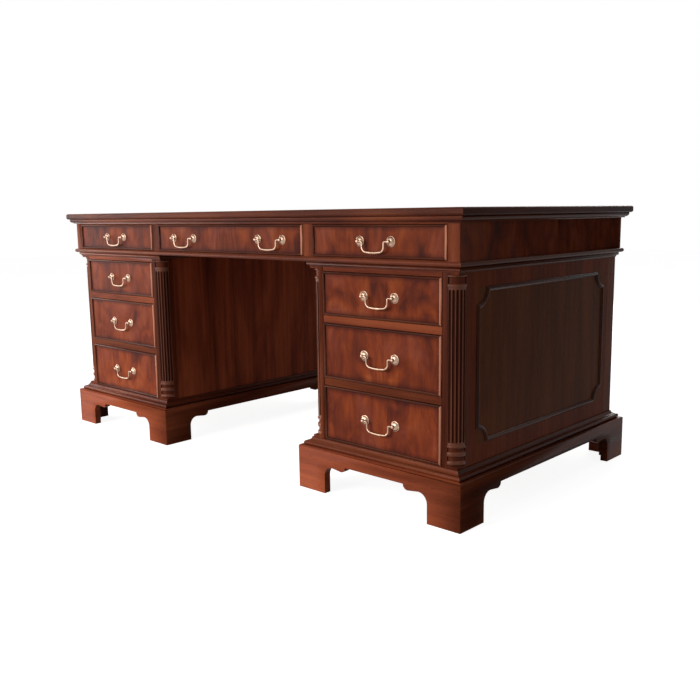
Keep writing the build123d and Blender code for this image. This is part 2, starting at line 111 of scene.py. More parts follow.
class Graph:
    """A small helper that builds one material's node tree."""

    def __init__(self, name):
        self.material = bpy.data.materials.new(name)
        self.nodes, self.links, output = emptied(self.material, "ShaderNodeOutputMaterial")
        self.shader = self.nodes.new("ShaderNodeBsdfPrincipled")
        self.links.new(self.shader.outputs[0], output.inputs["Surface"])
        self.place = self.nodes.new("ShaderNodeTexCoord").outputs["Object"]

    def split(self):
        """The place's X, Y and Z."""
        node = self.nodes.new("ShaderNodeSeparateXYZ")
        self.links.new(self.place, node.inputs[0])
        return node.outputs

    def noise(self, stretch, scale, detail, roughness, distortion=0.0, turn=(0, 0, 0), shift=(0, 0, 0)):
        """Noise over the place, which is stretched, turned and shifted first."""
        mapping = self.nodes.new("ShaderNodeMapping")
        mapping.inputs["Scale"].default_value = stretch
        mapping.inputs["Rotation"].default_value = turn
        mapping.inputs["Location"].default_value = shift
        self.links.new(self.place, mapping.inputs["Vector"])
        node = self.nodes.new("ShaderNodeTexNoise")
        node.inputs["Scale"].default_value = scale
        node.inputs["Detail"].default_value = detail
        node.inputs["Roughness"].default_value = roughness
        node.inputs["Distortion"].default_value = distortion
        self.links.new(mapping.outputs[0], node.inputs["Vector"])
        return node.outputs["Fac"]

    def math(self, operation, *values):
        """One sum; each value is a number or another node's output."""
        node = self.nodes.new("ShaderNodeMath")
        node.operation = operation
        for socket, value in zip(node.inputs, values):
            if isinstance(value, (int, float)):
                socket.default_value = value
            else:
                self.links.new(value, socket)
        return node.outputs[0]

    def mixed(self, *weighted):
        """A weighted sum; each value comes with its weight."""
        (value, weight), *others = weighted
        total = self.math("MULTIPLY", value, weight)
        for value, weight in others:
            total = self.math("MULTIPLY_ADD", value, weight, total)
        return total

    def span(self, value, low, high, new_low=0.0, new_high=1.0):
        """A value moved from one range to another, and held inside it."""
        node = self.nodes.new("ShaderNodeMapRange")
        node.inputs["From Min"].default_value = low
        node.inputs["From Max"].default_value = high
        node.inputs["To Min"].default_value = new_low
        node.inputs["To Max"].default_value = new_high
        self.links.new(value, node.inputs["Value"])
        return node.outputs[0]

    def ramp(self, value, stops, tint=1.0):
        """A colour between the stops, each a position and a colour, times the tint."""
        node = self.nodes.new("ShaderNodeValToRGB")
        elements = node.color_ramp.elements
        elements[0].position = stops[0][0]
        elements[1].position = stops[-1][0]
        for position, colour in stops[1:-1]:
            elements.new(position)
        for element, (position, colour) in zip(elements, stops):
            element.color = (*tinted(colour, tint), 1)
        self.links.new(value, node.inputs["Fac"])
        return node.outputs["Color"]

    def blend(self, kind, factor, first, second):
        """Two colours blended; a factor or colour is plain or another node's output."""
        node = self.nodes.new("ShaderNodeMix")
        node.data_type = "RGBA"
        node.blend_type = kind
        for name, value in (("Factor", factor), ("A", first), ("B", second)):
            socket = [s for s in node.inputs if s.name == name and s.enabled][-1]
            if isinstance(value, float):
                socket.default_value = value
            elif isinstance(value, tuple):
                socket.default_value = (*value, 1)
            else:
                self.links.new(value, socket)
        return [s for s in node.outputs if s.enabled][-1]

    def pitted(self, colour, pits, share, stain_and_shade):
        """A colour with a stain gathered in its pits."""
        return self.blend("MULTIPLY", self.math("MULTIPLY", pits, share), colour, stain_and_shade)

    def finish(self, colour, roughness, bump, depth, strength, **values):
        """Joins all to the shader; the other values go to its sockets of those names."""
        self.links.new(colour, self.shader.inputs["Base Color"])
        self.links.new(roughness, self.shader.inputs["Roughness"])
        for name, value in values.items():
            self.shader.inputs[name.replace("_", " ")].default_value = value
        node = self.nodes.new("ShaderNodeBump")
        node.inputs["Distance"].default_value = depth
        node.inputs["Strength"].default_value = strength
        self.links.new(bump, node.inputs["Height"])
        self.links.new(node.outputs[0], self.shader.inputs["Normal"])
        return self.material


def tinted(colour, tint):
    """A colour made darker or lighter."""
    return tuple(part * tint for part in colour)


def along(axis, share):
    """A stretch that draws a texture out along the grain."""
    stretch = [1.0, 1.0, 1.0]
    stretch[axis] = share
    return stretch


PORE_STAIN = (0.25, 0.16, 0.12)
# Pale tan of the painted highlight on the right-hand drawer beads
HIGHLIGHT_TAN = (0.720, 0.300, 0.170)
EVEN_RED = (0.200, 0.046, 0.020)
# Colour of the painted shade against the drawer beads
BEAD_SHADE = (0.040, 0.010, 0.010)
CLOUD_CAST = (0.170, 0.050, 0.046)
LINE_DARK = (0.022, 0.010, 0.006)
BANDING_CAST = (0.80, 0.74, 0.72)
OAK_PORE = (0.42, 0.33, 0.26)


def mahogany(name, axis, tint, gloss=0.02, even=0.0, painted_highlight=0.0, cast=None, field=None):
    """Straight-grained polished mahogany, its grain along the given axis.

    Even wood has fainter grain, and a painted highlight mixes the colour toward a pale tan. A cast
    shifts the colour, only inside a field if the field's limits along Y and Z are given.
    """
    g = Graph(name)
    broad = g.noise(along(axis, 0.16), scale=9.0, detail=3.0, roughness=0.55, distortion=1.2)
    ribbon = g.noise(along(axis, 0.025), scale=60.0, detail=3.0, roughness=0.55, distortion=0.25)
    fine = g.noise(along(axis, 0.018), scale=420.0, detail=2.0, roughness=0.6)
    pores = g.noise(along(axis, 0.05), scale=1150.0, detail=1.0, roughness=0.5)
    stops = (
        (0.36, (0.085, 0.019, 0.010)),
        (0.46, (0.165, 0.037, 0.017)),
        (0.54, (0.240, 0.056, 0.023)),
        (0.66, (0.335, 0.088, 0.034)),
    )
    colour = g.ramp(g.mixed((ribbon, 0.30), (broad, 0.55), (fine, 0.15)), stops, tint)
    if even > 0:
        colour = g.blend("MIX", even, colour, tinted(EVEN_RED, tint))
    pits = g.span(pores, 0.60, 0.72)
    colour = g.pitted(colour, pits, 0.45, PORE_STAIN)
    # Painted highlight: the colour mixed toward a pale tan
    if painted_highlight > 0:
        colour = g.blend("MIX", painted_highlight, colour, HIGHLIGHT_TAN)
    inside = 1.0
    if field is not None:
        for part, (low, high) in zip(g.split()[1:], field):
            inside = g.math("MULTIPLY", inside, g.math("GREATER_THAN", part, low))
            inside = g.math("MULTIPLY", inside, g.math("LESS_THAN", part, high))
    if cast is not None:
        colour = g.blend("MULTIPLY", inside, colour, cast)
    roughness = g.span(ribbon, 0.3, 0.7, 0.24, 0.36)
    height = g.math("SUBTRACT", g.math("MULTIPLY", fine, 0.35), pits)
    return g.finish(colour, roughness, height, depth=0.00008, strength=0.35, Specular_IOR_Level=gloss)


def flame(name, shift, lean, tint, panel=None):
    """Figured veneer: cloudy flame figure that leans a little from the upright.

    If a panel's limits along X and Z are given, its figure is book-matched about the middle, and
    painted shade darkens it against the beads.
    """
    g = Graph(name)
    plain = g.place
    across, deep, up = g.split()
    if panel is not None:
        middle = (panel[0][0] + panel[0][1]) / 2
        away = g.math("ABSOLUTE", g.math("SUBTRACT", across, middle))
        joined = g.nodes.new("ShaderNodeCombineXYZ")
        for socket, value in zip(joined.inputs, (away, deep, up)):
            g.links.new(value, socket)
        g.place = joined.outputs[0]
    figure = g.noise(along(Z, 0.50), 13.0, 4.0, 0.55, 1.4, turn=(0, lean, 0), shift=shift)
    g.place = plain
    clouds = g.noise(along(Z, 0.70), 9.0, 2.0, 0.5, 0.8, turn=(0, -0.5 * lean, 0), shift=shift)
    streak = g.noise(along(Z, 0.05), 85.0, 3.0, 0.55, 0.4, turn=(0, 0.25 * lean, 0))
    fine = g.noise(along(Z, 0.025), scale=430.0, detail=2.0, roughness=0.6)
    pores = g.noise(along(Z, 0.06), scale=1150.0, detail=1.0, roughness=0.5)
    stops = (
        (0.38, (0.085, 0.019, 0.013)),
        (0.45, (0.150, 0.030, 0.014)),
        (0.51, (0.212, 0.041, 0.015)),
        (0.57, (0.285, 0.060, 0.018)),
        (0.64, (0.370, 0.092, 0.026)),
    )
    value = g.mixed((clouds, 0.36), (figure, 0.46), (streak, 0.10), (fine, 0.08))
    colour = g.ramp(value, stops, tint)
    clouded = g.math("MULTIPLY", g.span(clouds, 0.52, 0.68), 0.35)
    colour = g.blend("MIX", clouded, colour, CLOUD_CAST)
    pits = g.span(pores, 0.60, 0.72)
    colour = g.pitted(colour, pits, 0.35, PORE_STAIN)
    if panel is not None:
        gaps = []
        for part, (low, high) in zip((across, up), panel):
            to_low = g.math("SUBTRACT", part, low)
            to_high = g.math("SUBTRACT", high, part)
            gaps.append(g.math("MINIMUM", to_low, to_high))
        # Painted shade: darker within a few millimetres of the beads
        uneven = g.math("MULTIPLY_ADD", clouds, 0.012, g.math("MINIMUM", *gaps))
        stain_and_shade = g.span(uneven, 0.006, 0.019, 0.62, 0.0)
        colour = g.blend("MIX", stain_and_shade, colour, BEAD_SHADE)
    roughness = g.span(figure, 0.3, 0.7, 0.23, 0.34)
    height = g.math("SUBTRACT", g.math("MULTIPLY", fine, 0.3), pits)
    return g.finish(colour, roughness, height, depth=0.00006, strength=0.3, Specular_IOR_Level=0.025)


def veneered_top(name, half_x, half_y, band, line):
    """The top: straight veneer in the middle, and cross-grained banding round it.

    A thin dark line lies between the two.
    """
    g = Graph(name)
    across, deep, up = g.split()
    gap_x = g.math("SUBTRACT", half_x, g.math("ABSOLUTE", across))
    gap_y = g.math("SUBTRACT", half_y, g.math("ABSOLUTE", deep))
    gap = g.math("MINIMUM", gap_x, gap_y)
    in_middle = g.math("GREATER_THAN", gap, band)
    at_end = g.math("LESS_THAN", gap_x, gap_y)

    def grain(axis, distortion):
        broad = g.noise(along(axis, 0.14), 7.0, 4.0, 0.55, distortion)
        ribbon = g.noise(along(axis, 0.022), scale=55.0, detail=3.0, roughness=0.55, distortion=0.3)
        fine = g.noise(along(axis, 0.018), scale=420.0, detail=2.0, roughness=0.6)
        return g.mixed((ribbon, 0.30), (broad, 0.55), (fine, 0.15))

    along_x = grain(X, 1.6)
    along_y = grain(Y, 0.9)
    stops = (
        (0.36, (0.080, 0.018, 0.010)),
        (0.47, (0.160, 0.036, 0.017)),
        (0.56, (0.235, 0.055, 0.023)),
        (0.68, (0.330, 0.088, 0.034)),
    )
    straight = g.ramp(along_x, stops)
    banding = g.blend("MIX", at_end, g.ramp(along_y, stops), straight)
    banding = g.blend("MULTIPLY", 1.0, banding, BANDING_CAST)
    colour = g.blend("MIX", in_middle, banding, straight)
    off_line = g.math("ABSOLUTE", g.math("SUBTRACT", gap, band))
    colour = g.blend("MIX", g.math("LESS_THAN", off_line, line), colour, LINE_DARK)
    roughness = g.span(along_x, 0.4, 0.6, 0.42, 0.50)
    return g.finish(colour, roughness, along_x, depth=0.00004, strength=0.12, Specular_IOR_Level=0.025)


def oak(name, axis):
    """Plain oak for the linings and runners."""
    g = Graph(name)
    broad = g.noise(along(axis, 0.10), scale=14.0, detail=3.0, roughness=0.5, distortion=0.8)
    ring = g.noise(along(axis, 0.02), scale=130.0, detail=3.0, roughness=0.6, distortion=0.2)
    pores = g.noise(along(axis, 0.03), scale=900.0, detail=1.0, roughness=0.5)
    stops = (
        (0.38, (0.265, 0.128, 0.060)),
        (0.50, (0.420, 0.226, 0.116)),
        (0.64, (0.540, 0.318, 0.176)),
    )
    colour = g.ramp(g.mixed((ring, 0.5), (broad, 0.5)), stops)
    pits = g.span(pores, 0.58, 0.70)
    colour = g.pitted(colour, pits, 0.55, OAK_PORE)
    roughness = g.span(ring, 0.3, 0.7, 0.55, 0.7)
    height = g.math("SUBTRACT", g.math("MULTIPLY", ring, 0.3), pits)
    return g.finish(colour, roughness, height, depth=0.0002, strength=0.4, Specular_IOR_Level=0.10)


def brass(name):
    """Lacquered brass, a little uneven, with faint tarnish and fine scratches."""
    g = Graph(name)
    clouds = g.noise((1, 1, 1), scale=70.0, detail=3.0, roughness=0.6, distortion=0.6)
    scratches = g.noise((1, 1, 0.2), scale=900.0, detail=2.0, roughness=0.6)
    stops = (
        (0.34, (0.290, 0.178, 0.120)),
        (0.50, (0.385, 0.246, 0.172)),
        (0.70, (0.480, 0.322, 0.232)),
    )
    colour = g.ramp(clouds, stops)
    roughness = g.span(clouds, 0.3, 0.7, 0.30, 0.18)
    return g.finish(colour, roughness, scratches, depth=0.00003, strength=0.06, Metallic=1.0)


# The field of the side panels, inside their mouldings, is veneered in browner wood
field_y = (PEDESTAL_Y - PANEL_MARGIN) * MM
panel_field = ((-field_y, field_y), (PANEL_LOW * MM, PANEL_HIGH * MM))
FIELD_CAST = (0.80, 1.08, 1.00)
COLUMN_CAST = (0.90, 1.12, 1.05)

# Boards: name, direction of the grain, tint and gloss
wood_x = mahogany("mahogany_along_x", X, 1.12)
wood_z = mahogany("mahogany_along_z", Z, 0.82)
low_rail = mahogany("mahogany_low_rail", X, 0.62)
# A darker copy for the fronts of the right-hand posts: painted shade
shaded_post = mahogany("mahogany_shaded_post", Z, 0.60)
panel_wood = mahogany("mahogany_panel", Z, 1.0, 0.012, 0.35, cast=FIELD_CAST, field=panel_field)
back_wood = mahogany("mahogany_back", Z, 0.95, 0.012)
# A lighter copy of the side panel wood for the kneehole sides: painted light
lit_kneehole_wood = mahogany("mahogany_kneehole_painted_light", Z, 1.35)
# The plinth's front and back boards get a lighter copy as painted light, its end boards a darker one as
# painted shade
lit_plinth_x = mahogany("mahogany_plinth_along_x_painted_light", X, 1.75, even=0.5)
shaded_plinth_y = mahogany("mahogany_plinth_along_y_painted_shade", Y, 0.60, 0.012)

# Mouldings, beads and columns
edge_x = mahogany("mahogany_edge_along_x", X, 0.50, 0.04)
# Darker copy for the top's end edges: painted shade
shaded_edge_y = mahogany("mahogany_edge_along_y_painted_shade", Y, 0.34, 0.025)
trim_x = mahogany("mahogany_trim_along_x", X, 0.72, 0.06)
# Darker copy for the mouldings on the ends: painted shade
shaded_trim_y = mahogany("mahogany_trim_along_y_painted_shade", Y, 0.38, 0.045)
bead_x = mahogany("mahogany_bead_along_x", X, 0.35, 0.05)
bead_z = mahogany("mahogany_bead_along_z", Z, 0.40, 0.05)
# Right-hand drawer beads, made pale as a painted highlight
highlight_bead = mahogany("mahogany_bead_painted_highlight", Z, 1.7, 0.10, painted_highlight=0.55)
panel_bead_y = mahogany("mahogany_panel_bead_along_y", Y, 0.24, 0.07)
panel_bead_z = mahogany("mahogany_panel_bead_along_z", Z, 0.24, 0.07)
column_wood = mahogany("mahogany_column", Z, 1.12, 0.20, cast=COLUMN_CAST)
# Darker copies for the column's recesses and flutes: painted shade
recess_painted_shade = mahogany("mahogany_recess_painted_shade", Z, 0.70, 0.05)
flute_painted_shade = mahogany("mahogany_flutes_painted_shade", Z, 0.38, 0.02)

# Veneer, linings and metal
TOP_BAND = 75.0
TOP_LINE = 1.2
top_wood = veneered_top("mahogany_top", TOP_X * MM, TOP_Y * MM, TOP_BAND * MM, TOP_LINE * MM)
end_veneer = flame("flame_ends", (0.4, 0.9, 0.2), 0.18, 0.85)
oak_x = oak("oak_along_x", X)
oak_y = oak("oak_along_y", Y)
brass_metal = brass("brass_polished")


# Solids of the frame that stay: eased edges, and a material that follows each board

WELD = 0.01
EASED_ANGLE = math.radians(20)
FLAT = 0.95
FACING = 0.9


def dress(node, materials, choose, width, segments=2):
    """Eases a node's sharp edges with modifiers and gives it its materials.

    Its own mesh stays as it is. A chooser picks a material by a polygon's middle and its normal;
    without one the first material is used all over.
    """
    obj = frame["nodes"][node]
    weld = obj.modifiers.new("weld", "WELD")
    weld.merge_threshold = WELD * MM
    bevel = obj.modifiers.new("eased", "BEVEL")
    bevel.width = width * MM
    bevel.segments = segments
    bevel.limit_method = "ANGLE"
    bevel.angle_limit = EASED_ANGLE
    bevel.harden_normals = False
    bevel.use_clamp_overlap = True
    normals = obj.modifiers.new("normals", "WEIGHTED_NORMAL")
    normals.keep_sharp = False
    obj.data.materials.clear()
    for material in materials:
        obj.data.materials.append(material)
    for polygon in obj.data.polygons:
        polygon.use_smooth = True
        if choose is not None:
            polygon.material_index = choose(polygon.center / MM, polygon.normal)


def from_middle(at):
    """How far a place lies to the right of its pedestal's middle."""
    return at.x - math.copysign(PEDESTAL_X, at.x)


def round_frieze(at, normal):
    """The first material on a mitred moulding's lengths along X, and the second along Y."""
    return 0 if abs(at.y) - FRIEZE_Y > abs(at.x) - FRIEZE_X else 1


def round_pedestal(at, normal):
    """The same for the mouldings and boards round a pedestal."""
    return 0 if abs(at.y) - PEDESTAL_Y > abs(from_middle(at)) - PEDESTAL_HALF else 1


def top_grain(at, normal):
    """Veneer on the flat of the top, and long grain round its edge."""
    if abs(normal.z) > FLAT:
        return 0
    return 2 if abs(normal.x) > abs(normal.y) else 1


def frieze_grain(at, normal):
    """Level grain on the rails, and upright grain on the stiles between and beside the drawers."""
    beside_opening = FRIEZE_OPENING_LOW < at.z < FRIEZE_OPENING_HIGH
    inner_stile = beside_opening and abs(at.x) > FRIEZE_INNER_STILE
    return 1 if inner_stile or abs(at.x) > FRIEZE_OUTER_STILE else 0


def apron_grain(at, normal):
    """Veneer on the frieze's ends."""
    return 1 if abs(at.x) > FRIEZE_END_BOARD else 0


def frame_grain(at, normal):
    """Level grain on the rails, darker on the lower ones, and upright grain on the posts.

    The fronts of the right-hand posts get a darker copy of the wood as painted shade.
    """
    right = from_middle(at)
    if abs(right) > RAIL_HALF or at.y > RAIL_BACK:
        return 3 if right > 0 and normal.y < -FACING else 1
    return 0 if at.z > LOW_RAILS else 2


def panel_grain(at, normal):
    """The second material on the side towards the kneehole."""
    # The kneehole sides get the lighter copy as painted light
    return 1 if abs(at.x) < PEDESTAL_X else 0


dress("top_board", [top_wood, edge_x, shaded_edge_y], top_grain, 0.6)
dress("top_moulding", [trim_x, shaded_trim_y], round_frieze, 0.5)
dress("frieze_front", [wood_x, wood_z], frieze_grain, 0.7)
dress("frieze_aprons", [wood_x, end_veneer], apron_grain, 0.7)
dress("frieze_runners", [oak_y], None, 0.5)
dress("waist_moulding", [trim_x, shaded_trim_y], round_frieze, 0.5)
dress("neck_mouldings", [trim_x, shaded_trim_y], round_pedestal, 0.4)
for side, sign in SIDES:
    dress(f"{side}_frame", [wood_x, wood_z, low_rail, shaded_post], frame_grain, 0.7)
    dress(f"{side}_side_panels", [panel_wood, lit_kneehole_wood], panel_grain, 0.7)
    dress(f"{side}_back_panel", [back_wood], None, 0.7)
    dress(f"{side}_runners", [oak_y], None, 0.5)
    dress(f"{side}_base_moulding", [trim_x, shaded_trim_y], round_pedestal, 0.5)
    dress(f"{side}_plinth", [lit_plinth_x, shaded_plinth_y], round_pedestal, 1.2, 3)


# Drawers: each front has its own cut of veneer

TINTS = {"top": 0.97, "middle": 1.05, "bottom": 1.14, "left": 1.0, "centre": 0.82, "right": 0.92}
VENEER_SHIFT = Vector((0.37, 0.71, 0.53))
VENEER_LEANS = (-0.40, 0.45)


def front_grain(low, high):
    """Veneer on the panel, upright grain on the side beads and level grain on the others.

    The right-hand bead gets a pale painted highlight. The front's corners are in metres.
    """

    def choose(at, normal):
        from_left = at.x - low.x / MM
        from_right = high.x / MM - at.x
        from_side = min(from_left, from_right)
        from_edge = min(at.z - low.z / MM, high.z / MM - at.z)
        if min(from_side, from_edge) > BEAD_WIDTH + SLACK:
            return 0
        if from_side >= from_edge:
            return 1
        # The right-hand bead takes the painted highlight
        return 3 if from_right < from_left else 2

    return choose


def box_grain(low, high):
    """Grain along the sides, and across the bottom and back. The box's corners are in metres."""

    def choose(at, normal):
        from_side = min(at.x - low.x / MM, high.x / MM - at.x)
        return 1 if from_side <= BOX_BOARD + SLACK else 0

    return choose


drawer_bodies = [name for name in frame["bodies"] if name.endswith("_drawer")]
for index, body in enumerate(drawer_bodies):
    name = body.removesuffix("_drawer")
    front = f"{name}_drawer_front"
    low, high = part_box(front)
    bead = BEAD_WIDTH * MM
    veneer = flame(
        f"flame_{name}",
        index * VENEER_SHIFT,
        VENEER_LEANS[index % 2],
        TINTS[name.split("_")[-1]],
        [(low[axis] + bead, high[axis] - bead) for axis in (X, Z)],
    )
    dress(front, [veneer, bead_x, bead_z, highlight_bead], front_grain(low, high), 0.55, 3)
    box_node = f"{name}_drawer_box"
    dress(box_node, [oak_x, oak_y], box_grain(*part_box(box_node)), 0.6)


# Tools for the pieces made here

class Gather:
    """Collects several forms, each its vertices and faces, into one mesh."""

    def __init__(self):
        self.vertices = []
        self.faces = []

    def add(self, form, place):
        vertices, faces = form
        base = len(self.vertices)
        self.vertices += [place(v) for v in vertices]
        self.faces += [tuple(base + i for i in face) for face in faces]


def piece(name, gather, materials, body):
    """A smooth-shaded mesh piece that rides on a body."""
    mesh = bpy.data.meshes.new(name)
    mesh.from_pydata([Vector(v) * MM for v in gather.vertices], [], gather.faces)
    mesh.validate()
    mesh.update()
    for polygon in mesh.polygons:
        polygon.use_smooth = True
    for material in materials:
        mesh.materials.append(material)
    obj = bpy.data.objects.new(name, mesh)
    bpy.context.scene.collection.objects.link(obj)
    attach(obj, body)
    return obj


def crease(obj, degrees):
    """Keeps edges sharper than the limit crisp in smooth shading."""
    attributes = obj.data.attributes
    sharp = attributes.get("sharp_edge") or attributes.new("sharp_edge", "BOOLEAN", "EDGE")
    normals = {}
    for polygon in obj.data.polygons:
        for key in polygon.edge_keys:
            normals.setdefault(key, []).append(polygon.normal)
    limit = math.radians(degrees)
    for edge in obj.data.edges:
        pair = normals.get(tuple(sorted(edge.vertices)), [])
        sharp.data[edge.index].value = len(pair) != 2 or pair[0].angle(pair[1], 0.0) > limit


def strips(rows, around, closed):
    """Quads between rows of points, each row the given number of points long."""
    faces = []
    for row in range(rows - 1):
        first = row * around
        for step in range(around if closed else around - 1):
            after = (step + 1) % around
            faces.append((first + step, first + after, first + around + after, first + around + step))
    return faces


def tube(rows, around):
    """Quads between closed rows of points, and a face at each end."""
    last = (rows - 1) * around
    ends = [tuple(reversed(range(around))), tuple(range(last, last + around))]
    return strips(rows, around, True) + ends


def turned(profile, sides):
    """A form turned about Z: the profile gives radius and height, from foot to tip."""
    vertices = []
    for radius, height in profile:
        for step in range(sides):
            angle = 2 * math.pi * step / sides
            vertices.append((radius * math.cos(angle), radius * math.sin(angle), height))
    return vertices, tube(len(profile), sides)


def arc(centre, radius, start, turn, steps):
    """Points along an arc, from its start through its turn, both in degrees."""
    points = []
    for step in range(steps + 1):
        angle = math.radians(start + turn * step / steps)
        points.append((centre[0] + radius * math.cos(angle), centre[1] + radius * math.sin(angle)))
    return points


# Quarter columns, turned and fluted. What lies deeper than the hollow is in a flute or a recess, and
# takes a darker copy of the wood as painted shade.

SHAFT = 31.0
RING = 33.0
RECESS = 29.0
LOWER_TORUS = 13.0
SCOTIA = 9.0
UPPER_TORUS = 14.0
COLLAR = 9.0
FOOT_ASTRAGAL = 7.0
NECK_ASTRAGAL = 8.0
NECKING = 16.0
ABACUS = 6.0
RING_STEPS = 8
FLUTES = 5
FLUTE_HALF = 3.7
FLUTE_DEPTH = 2.7
FLUTE_MARGIN = 6.0
FLUTE_STEPS = 8
FLUTE_END = (0, 0.15, 0.35, 0.6, 1.0)
FLUTE_WIDTH = (-1, -0.93, -0.8, -0.6, -0.3, 0, 0.3, 0.6, 0.8, 0.93, 1)
HOLLOW = 1.0

COLUMN_HEIGHT = COLUMN_TOP - COLUMN_BOTTOM
SHAFT_FOOT = LOWER_TORUS + SCOTIA + UPPER_TORUS + COLLAR + FOOT_ASTRAGAL
SHAFT_HEAD = COLUMN_HEIGHT - NECK_ASTRAGAL - NECKING - ABACUS
FLUTES_LOW = SHAFT_FOOT + FLUTE_MARGIN
FLUTES_HIGH = SHAFT_HEAD - FLUTE_MARGIN


def ring_rows(bottom, height, below, above):
    """Heights and radii of a rounded ring."""
    rows = []
    for step in range(RING_STEPS + 1):
        share = step / RING_STEPS
        low = below if share < 0.5 else above
        swell = math.sqrt(max(0.0, 1 - (2 * share - 1) ** 2))
        rows.append((bottom + height * share, low + (RING - low) * swell))
    return rows


def column_rows():
    """Heights and radii of the whole column, from foot to head."""
    rows = ring_rows(0, LOWER_TORUS, RECESS, RECESS)
    rows += ring_rows(LOWER_TORUS + SCOTIA, UPPER_TORUS, RECESS, RECESS)
    rows += ring_rows(SHAFT_FOOT - FOOT_ASTRAGAL, FOOT_ASTRAGAL, RECESS, SHAFT)
    straight = FLUTES_HIGH - FLUTES_LOW - 2 * FLUTE_HALF
    for share in FLUTE_END:
        rows.append((FLUTES_LOW + share * FLUTE_HALF, SHAFT))
    for step in range(1, FLUTE_STEPS):
        rows.append((FLUTES_LOW + FLUTE_HALF + straight * step / FLUTE_STEPS, SHAFT))
    for share in reversed(FLUTE_END):
        rows.append((FLUTES_HIGH - share * FLUTE_HALF, SHAFT))
    rows += ring_rows(SHAFT_HEAD, NECK_ASTRAGAL, SHAFT, RECESS)
    rows += ring_rows(COLUMN_HEIGHT - ABACUS, ABACUS, RECESS, RECESS)
    return rows


def flute_cut(level, share):
    """How deep a flute is at a level, at a share of its half width from its middle."""
    if share is None or not FLUTES_LOW < level < FLUTES_HIGH:
        return 0.0
    past = max(FLUTES_LOW + FLUTE_HALF - level, level - FLUTES_HIGH + FLUTE_HALF, 0) / FLUTE_HALF
    return FLUTE_DEPTH * math.sqrt(max(0.0, 1 - share * share - past * past))


def column_form():
    """A quarter of the column, standing on its axis."""
    rows = column_rows()
    angles = []
    flute_angle = 90 / FLUTES
    half = math.degrees(FLUTE_HALF / SHAFT)
    for flute in range(FLUTES):
        angles.append((flute * flute_angle, None))
        for share in FLUTE_WIDTH:
            angles.append(((flute + 0.5) * flute_angle + share * half, share))
    angles.append((90.0, None))
    vertices = []
    for level, radius in rows:
        for angle, share in angles:
            away = radius - flute_cut(level, share)
            turn = math.radians(angle)
            vertices.append((away * math.cos(turn), away * math.sin(turn), level))
    count = len(angles)
    faces = strips(len(rows), count, False)
    axis = len(vertices)
    vertices += [(0.0, 0.0, level) for level, radius in rows]
    for row in range(len(rows) - 1):
        first = row * count
        faces.append((axis + row, first, first + count, axis + row + 1))
        faces.append((first + count - 1, axis + row, axis + row + 1, first + 2 * count - 1))
    faces.append((axis, *reversed(range(count))))
    top = (len(rows) - 1) * count
    faces.append((axis + len(rows) - 1, *range(top, top + count)))
    return vertices, faces


column = column_form()
axis_x = PEDESTAL_HALF - REBATE
axis_y = REBATE - PEDESTAL_Y
for side, sign in SIDES:
    gather = Gather()
    for x_side, quarter in ((-1, 2), (1, 3)):
        turn = Matrix.Rotation(quarter * math.pi / 2, 3, "Z")
        foot = Vector((sign * PEDESTAL_X + x_side * axis_x, axis_y, COLUMN_BOTTOM))
        gather.add(column, lambda v: turn @ Vector(v) + foot)
    woods = [column_wood, flute_painted_shade, recess_painted_shade]
    obj = piece(f"{side}_fluted_columns", gather, woods, "carcass")
    for polygon in obj.data.polygons:
        at = polygon.center / MM
        away = math.hypot(abs(from_middle(at)) - axis_x, at.y - axis_y)
        # Faces in the flutes and recesses get the darker copies as painted shade
        if away < SHAFT - HOLLOW:
            in_flute = FLUTES_LOW < at.z - COLUMN_BOTTOM < FLUTES_HIGH
            polygon.material_index = 1 if in_flute else 2
    crease(obj, degrees=50)
    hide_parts(f"{side}_columns")


# Applied panel mouldings with indented corners: the section gives inset and height

PANEL_SECTION = (
    (0.0, 0.0),
    (0.0, 1.4),
    (0.5, 2.1),
    (1.5, 2.5),
    (2.4, 3.3),
    (3.2, 4.5),
    (4.4, 5.5),
    (5.8, 6.0),
    (7.2, 5.7),
    (8.2, 4.9),
    (8.8, 3.8),
    (9.0, 2.9),
    (9.6, 2.5),
    (10.8, 2.4),
    (11.6, 2.0),
    (12.0, 1.3),
    (12.0, 0.0),
)
PANEL_STEPS = 16


def indented_loop(half_width, inset):
    """Points of the panel's outline at an inset: straight sides between arcs cut from its corners."""
    radius = PANEL_INDENT + inset
    tilt = math.degrees(math.asin(inset / radius))
    corners = (
        (half_width, PANEL_LOW),
        (half_width, PANEL_HIGH),
        (-half_width, PANEL_HIGH),
        (-half_width, PANEL_LOW),
    )
    points = []
    for turn, corner in enumerate(corners, start=2):
        points += arc(corner, radius, turn * 90 - tilt, 2 * tilt - 90, PANEL_STEPS)
    return points


def panel_form(half_width):
    """The moulding round a panel: across, up, and out from the board."""
    vertices = []
    for inset, height in PANEL_SECTION:
        vertices += [(*point, height) for point in indented_loop(half_width, inset)]
    around = 4 * (PANEL_STEPS + 1)
    faces = [tuple(reversed(face)) for face in strips(len(PANEL_SECTION), around, True)]
    last = (len(PANEL_SECTION) - 1) * around
    for step in range(around):
        after = (step + 1) % around
        faces.append((step, after, last + after, last + step))
    return vertices, faces


for side, sign in SIDES:
    gather = Gather()
    outer = sign * (PEDESTAL_X + PEDESTAL_HALF)
    gather.add(
        panel_form(PEDESTAL_Y - PANEL_MARGIN),
        lambda v: Vector((outer + sign * v[2], sign * v[0], v[1])),
    )
    gather.add(
        panel_form(PEDESTAL_HALF - PANEL_MARGIN),
        lambda v: Vector((sign * PEDESTAL_X - v[0], PEDESTAL_Y + v[2], v[1])),
    )
    woods = [panel_bead_y, panel_bead_z]
    obj = piece(f"{side}_applied_mouldings", gather, woods, "carcass")
    for polygon in obj.data.polygons:
        level = polygon.center.z / MM
        upright = PANEL_LOW + PANEL_INDENT < level < PANEL_HIGH - PANEL_INDENT
        polygon.material_index = 1 if upright else 0
    crease(obj, degrees=40)
    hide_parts(f"{side}_panel_mouldings")


# Handles: turned posts, swinging bails, and the nuts inside the drawer fronts. The profiles give radius
# and height from the front, outwards for a post and inwards for a nut's washer, body and shank.

